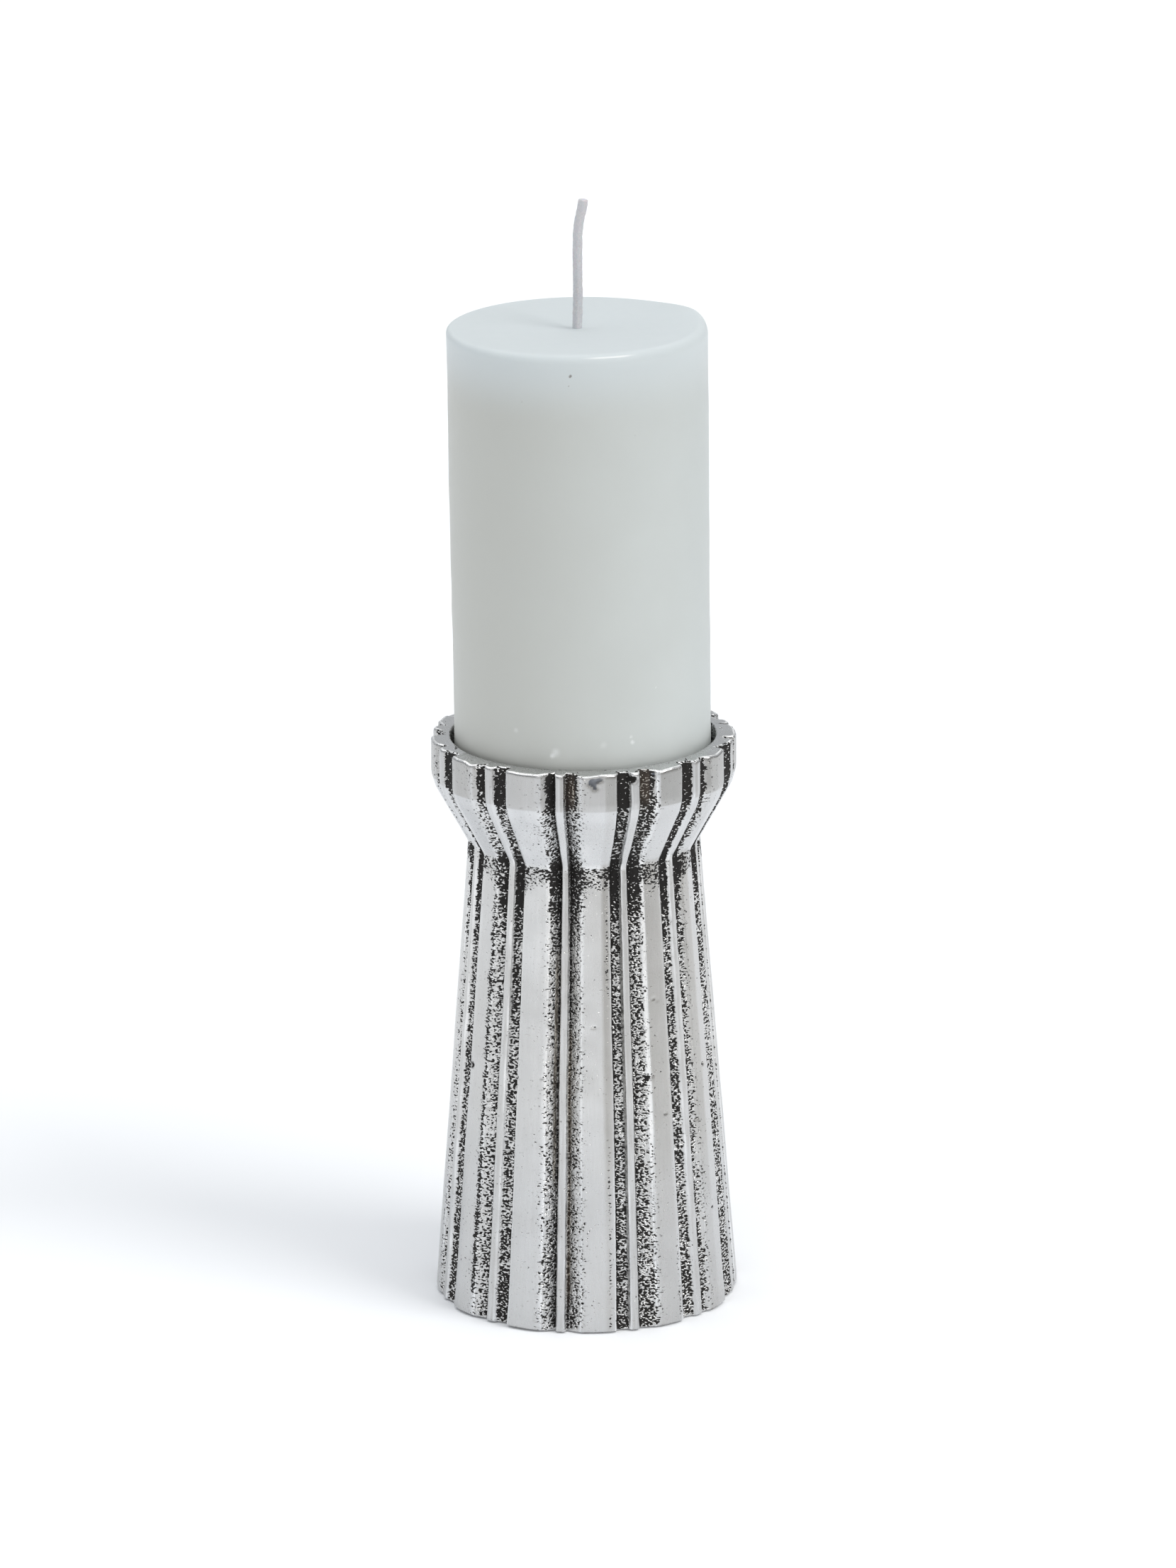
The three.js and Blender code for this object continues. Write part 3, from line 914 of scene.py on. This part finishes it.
def cup_profile():
    """Radius and height of the cup, from the inner edge of the rim down to the middle of its floor."""
    wall = [(CUP_RADIUS + 0.12, RIM_Z - 0.15), (CUP_RADIUS, RIM_Z - 0.45)]
    wall += [(CUP_RADIUS, z) for z in np.linspace(RIM_Z - 1.2, CUP_FLOOR_Z + 1, 12)]
    corner = [(CUP_RADIUS - 0.3, CUP_FLOOR_Z + 0.3)]
    return wall + corner + [(r, CUP_FLOOR_Z) for r in np.linspace(CUP_RADIUS - 1, 1.5, 22)]


def ring(angles, radius, z, polish, patina, shine, brown=0.0, share=1.0):
    """One ring of the casting: where it runs, then what its material reads and its share of the UV map."""
    fields = (radius, angles, z, polish, patina, shine, brown, share)
    return [np.broadcast_to(field, len(angles)) for field in fields]


def hollow_rings(angles):
    """The rough hollow underside; it is smooth near the felt."""
    rings = []
    for radius, z in hollow_profile():
        place = around(radius, angles, z)
        lump = 0.22 * noise(place, 2.4, 51) + 0.12 * noise(place, 1.1, 52)
        if z < FOOT_Z + 5:
            lump = 0 * lump
        on_ceiling = z > CUP_FLOOR_Z - WALL - 0.5
        spot = (radius, z - lump) if on_ceiling else (radius + lump, z)
        rings.append(ring(angles, *spot, 0.25, 0.5, 0.45, share=0.25))
    return rings


def rim_droop(angles):
    """How far the rim's outer edge is rounded down, in mm."""
    place = around(RIM_RADIUS, angles, RIM_Z)
    return 0.55 * smooth(-0.2, 0.9, noise(place, 5.0, 64)) + 0.12 * noise(place, 1.6, 65) + 0.12


def outside_rings(angles):
    """The fluted outside from the foot to the rim, then the radius and the angles of its last ring."""
    quarter = np.linspace(0, math.pi / 2, 5)
    foot_z = FOOT_Z + FOOT_EDGE * (1 - np.cos(quarter))
    side_z = np.arange(FOOT_Z + FOOT_EDGE + 0.4, RIM_Z - 1.1, 0.42)
    heights = np.concatenate([foot_z, side_z, RIM_Z - RIM_EDGE + RIM_EDGE * np.sin(quarter)])
    inset = np.zeros(len(heights))
    inset[:5] = FOOT_EDGE * (1 - np.sin(quarter))
    inset[-5:] = RIM_EDGE * (1 - np.cos(quarter))
    radius, turned, (polish, patina, shine, brown) = casting_outside(angles, heights)
    droop = rim_droop(angles)
    rings = [ring(turned[0], radius[0] - inset[0] - 0.3, FOOT_Z, 0.6, 0.3, 0.6)]
    for i, z in enumerate(heights):
        # The rim's rounded edge is bare and polished, and painted bright as a highlight.
        edge = smooth(RIM_Z - RIM_EDGE, RIM_Z, z)
        lowered = z - droop * smooth(RIM_Z - 4, RIM_Z, z)
        rings.append(ring(turned[i], radius[i] - inset[i], lowered, np.maximum(polish[i], edge),
                          patina[i] * (1 - 0.7 * edge), shine[i] + edge * (1.0 - shine[i]), brown[i]))
    return rings, radius[-1] - inset[-1], turned[-1]


def rim_top_rings(angles, outline, turned):
    """The rim's uneven, pitted top, from its outline in to the cup."""
    droop = rim_droop(angles)
    rings = []
    for t in np.linspace(0.07, 1, 12):
        r = outline + (CUP_RADIUS + 0.4 - outline) * t
        place = around(r, turned, RIM_Z)
        dip = 0.22 * smooth(-0.2, 1, noise(place, 9.0, 61)) + 0.02 * noise(place, 2.0, 62)
        pits = smooth(0.74, 0.86, noise(place, 1.1, 63))
        z = RIM_Z - 0.03 - dip - droop * (1 - t)
        rings.append(ring(turned * (1 - t) + angles * t, r, z, 1.0, -0.3 + 0.9 * pits, 0.80))
    return rings


def cup_rings(angles):
    """The cup's wall and floor, as they were cast."""
    rings = []
    for r, z in cup_profile():
        lump = 0.07 * noise(around(r, angles, z), 1.6, 71)
        spot = (r + lump, z) if z > CUP_FLOOR_Z else (r, z - np.abs(lump))
        rings.append(ring(angles, *spot, 0.45, 0.38, 0.6, share=0.4))
    return rings


def casting():
    angles = column_angles()
    outside, outline, top_angles = outside_rings(angles)
    rings = hollow_rings(angles) + outside + rim_top_rings(angles, outline, top_angles) + cup_rings(angles)
    radius, turned, z, polish, patina, shine, brown, share = [np.array(field) for field in zip(*rings)]
    piece = grid_mesh("casting_looks", around(radius, turned, z),
                      start=(0, 0, CUP_FLOOR_Z - WALL), end=(0, 0, CUP_FLOOR_Z),
                      attributes={"polish": polish, "patina": patina, "shine": shine, "brown": brown},
                      share=share[:, 0])
    piece.data.materials.append(aluminium_paint())
    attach(piece, "holder")
    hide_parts("holder_casting")


# ---------- the felt ring


def felt():
    """A ring punched from pressed felt, with soft edges."""
    middle = (FELT_INNER + FELT_OUTER) / 2
    half_width = (FELT_OUTER - FELT_INNER) / 2
    half_height = (felt_high[2] - felt_low[2]) / 2
    turns = np.radians(np.arange(0, 360, 11.25))
    corner = 0.35
    across = np.sign(np.cos(turns)) * np.abs(np.cos(turns)) ** corner
    up = np.sign(np.sin(turns)) * np.abs(np.sin(turns)) ** corner
    angles = np.arange(0, 360, 1.0)
    rows = around((middle + half_width * across)[:, None], angles[None, :], (half_height * (1 + up))[:, None])
    fuzz = 0.05 * noise(rows, 0.9, 81)[..., None]
    outward = np.stack(np.broadcast_arrays(0, 0, up[:, None]), -1)
    rows = rows - np.abs(fuzz) * outward
    piece = grid_mesh("felt_looks", rows, closed=True)
    piece.data.materials.append(felt_paint())
    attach(piece, "holder")
    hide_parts("foot_felt")


# ---------- the candle


def lean(points):
    """Points worked out for an upright candle on the origin, moved to where the candle stands."""
    c, s = math.cos(CANDLE_LEAN), math.sin(CANDLE_LEAN)
    x, y, z = points[..., 0], points[..., 1], points[..., 2]
    return np.stack([c * x - s * z, y, s * x + c * z + CANDLE_BASE_Z], axis=-1)


# Small marks on the wax: angle, height above the candle's foot, size and strength in mm.
# A negative strength is a dark speck and a positive one a pale bruise.
WAX_MARKS = [
    (-3.0, 114.7, 0.5, -0.9), (-3.7, 112.0, 0.25, -0.8), (-25.0, 107.3, 0.45, -0.5), (25.6, 97.5, 0.3, -0.5),
    (-30.6, 16.4, 1.1, 0.45), (-11.8, 11.4, 1.6, 0.55), (-13.7, 10.2, 0.7, 0.6), (22.6, 13.3, 0.7, 0.9),
    (22.0, 14.9, 0.5, 0.8), (9.2, 13.2, 1.3, 0.4), (-42.9, 6.0, 0.8, 0.8), (34.6, 27.5, 0.4, 0.6),
    (150, 18.0, 1.4, 0.6), (205, 30.0, 0.6, -0.6), (100, 88.0, 0.5, -0.7),
]


# How round the candle's top edge is worn: angle, radius in mm.
TOP_EDGE = [(-180, 1.2), (-95, 1.2), (-50, 2.0), (0, 2.4), (45, 2.7), (90, 2.8), (112, 1.3), (150, 1.2)]


WAX_BORE = WICK_RADIUS + 0.06
TAB_RECESS = 10.3  # radius of the recess for the wick's tab, then its depth
TAB_DEPTH = 0.7
COLLAR_RECESS = 2.7  # and of the recess for the tab's collar
COLLAR_DEPTH = 3.7
BASE_EDGE = 1.0  # rounding of the candle's foot


def candle_rings(angles, edge_round):
    """Radius and height of each ring, from the recess for the tab, up the side and in to the wick."""
    level = np.ones(len(angles))
    rings = [(WAX_BORE + 0.5, COLLAR_DEPTH), (COLLAR_RECESS, COLLAR_DEPTH), (COLLAR_RECESS, TAB_DEPTH),
             (TAB_RECESS, TAB_DEPTH), (TAB_RECESS, 0.0)]
    rings += [(r, 0.0) for r in np.linspace(TAB_RECESS + 0.5, CANDLE_RADIUS - BASE_EDGE, 8)]
    for turn in np.linspace(0.3, math.pi / 2, 4):
        inner = CANDLE_RADIUS - BASE_EDGE
        rings.append((inner + BASE_EDGE * math.sin(turn), BASE_EDGE * (1 - math.cos(turn))))
    for t in np.linspace(0, 1, 230)[1:]:
        rings.append((CANDLE_RADIUS, BASE_EDGE + (CANDLE_HEIGHT - edge_round - BASE_EDGE) * t))
    for turn in np.linspace(0, math.pi / 2, 14)[1:]:
        rings.append((CANDLE_RADIUS - edge_round * (1 - math.cos(turn)),
                      CANDLE_HEIGHT - edge_round * (1 - math.sin(turn))))
    for t in np.linspace(0, 1, 40)[1:]:
        r = (CANDLE_RADIUS - edge_round) * (1 - t) + (WAX_BORE - 0.17) * t  # ends just inside the wick
        dip = 0.9 * np.exp(-((r / 15) ** 2))
        climb = 0.30 * np.exp(-(r - WAX_BORE) / 0.5)
        rings.append((r, CANDLE_HEIGHT - dip + climb))
    return np.array([r * level for r, _ in rings]), np.array([z * level for _, z in rings])


def wax_marks(place):
    """How strong the marks are at each point of the wax: above 0 a bruise, below 0 a speck."""
    mark = np.zeros(place.shape[:2])
    for angle, z, size, strength in WAX_MARKS:
        spot = around(CANDLE_RADIUS, angle, z)
        ragged = 0.25 * size * np.stack([noise(place, size, 93)] * 3, -1)
        distance = np.linalg.norm((place - spot) + ragged, axis=-1)
        mark = mark + strength * np.exp(-((distance / size) ** 2))
    return mark


def candle():
    """The wax: a flat-topped pillar whose top edge is worn rounder at the front right than at the back."""
    angles = np.arange(0, 360, 0.75)
    edge_round = periodic(angles, *np.array(TOP_EDGE, float).T)
    radius, height = candle_rings(angles, edge_round)
    radius = radius + CANDLE_TAPER * (height / CANDLE_HEIGHT - 0.5) * (radius > CANDLE_RADIUS - 1.5)
    place = around(radius, angles[None, :], height)
    swell = 0.16 * noise(place, 26.0, 91) + 0.05 * noise(place, 7.0, 92)
    outside = (radius > CANDLE_RADIUS * 0.9)
    radius = radius + np.where(outside, swell - 0.1, 0)
    on_top = (height > CANDLE_HEIGHT - 6) & ~outside
    height = height + np.where(on_top, 0.5 * swell, 0)
    right_back = bell(114, 21, angles)[None, :]  # the top stands 1 mm higher there
    height = height + 1.0 * right_back * smooth(20, 34, radius) * (height > CANDLE_HEIGHT - 5)

    mark = wax_marks(place)
    radius = radius - 0.12 * np.abs(mark)
    # A painted highlight: a thin pale line on the worn top edge at the front right, where its rounding turns
    # 45 degrees.
    inward = 0.29 * edge_round[None, :]
    gleam = bell(CANDLE_RADIUS - inward, 0.26, radius) * bell(CANDLE_HEIGHT - inward, 0.26, height)
    mark = mark + 0.9 * gleam * (smooth(-4, 12, angles) * (1 - smooth(20, 32, angles)))[None, :]
    points = lean(around(radius, angles[None, :], height))
    piece = grid_mesh("candle_looks", points, attributes={"mark": mark})
    piece.data.materials.append(wax_paint())
    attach(piece, "candle")
    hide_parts("candle_wax")


def wick():
    """A square-braided cotton wick: straight out of the wax, then bent over to the right at its tip."""
    shares = np.array([-3.4, -1.7, -0.05, 0.2, 0.52, 0.76, 0.88, 1.0])
    knots_z = CANDLE_HEIGHT + WICK_ABOVE * shares
    knots_z[0] = 0.4
    knots_x = np.array([0, 0, 0, 0.40, 0.42, 0.55, 1.3, 2.6])
    z = np.concatenate([np.linspace(0.4, 116, 30), np.arange(116.3, knots_z[-1] - 0.2, 0.16)])
    x = np.interp(z, knots_z, knots_x)
    for _ in range(3):
        padded = np.pad(x, 12, mode="edge")
        x = np.convolve(padded, np.ones(25) / 25, mode="valid")
    turns = np.radians(np.arange(0, 360, 6.0))
    slope = np.gradient(x, z)
    rings = []
    square = 1 + 0.05 * np.cos(4 * turns)
    pitch = 4.2
    for i in range(len(z)):
        twist = 2 * math.pi * z[i] / pitch
        braid = 0.5 * (np.cos(4 * turns + twist) * np.cos(4 * turns - twist))
        r = WICK_RADIUS * (0.90 * square + 0.045 * braid)
        along = r * np.cos(turns)
        rings.append(np.stack([x[i] + along, r * np.sin(turns), z[i] - slope[i] * along], axis=-1))
    rings = np.array(rings)
    lump = 0.05 * noise(rings, 1.3, 101) + 0.035 * noise(rings, 0.5, 102)
    centre = np.stack([x, np.zeros(len(z)), z], -1)[:, None]
    outward = rings - centre
    rings = rings + outward / WICK_RADIUS * lump[..., None]
    tip = [centre[-1] + (rings[-1] - centre[-1]) * f + np.array([slope[-1], 0, 1]) * rise
           for f, rise in ((0.93, 0.12), (0.75, 0.18), (0.4, 0.2))]
    rings = np.concatenate([rings, np.array(tip)])
    top = centre[-1, 0] + np.array([slope[-1], 0, 1]) * 0.2
    piece = grid_mesh("wick_looks", lean(rings), start=lean(np.array([x[0], 0, z[0]])), end=lean(top))
    piece.data.materials.append(cotton_paint())
    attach(piece, "candle")
    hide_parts("wick")


def sustainer():
    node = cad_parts["wick_sustainer"]
    node.data.materials.clear()
    node.data.materials.append(steel_paint())


# ---------- build

bpy.context.scene.view_settings.view_transform = "Standard"
add_camera()
add_lights()
add_floor()
casting()
felt()
candle()
wick()
sustainer()
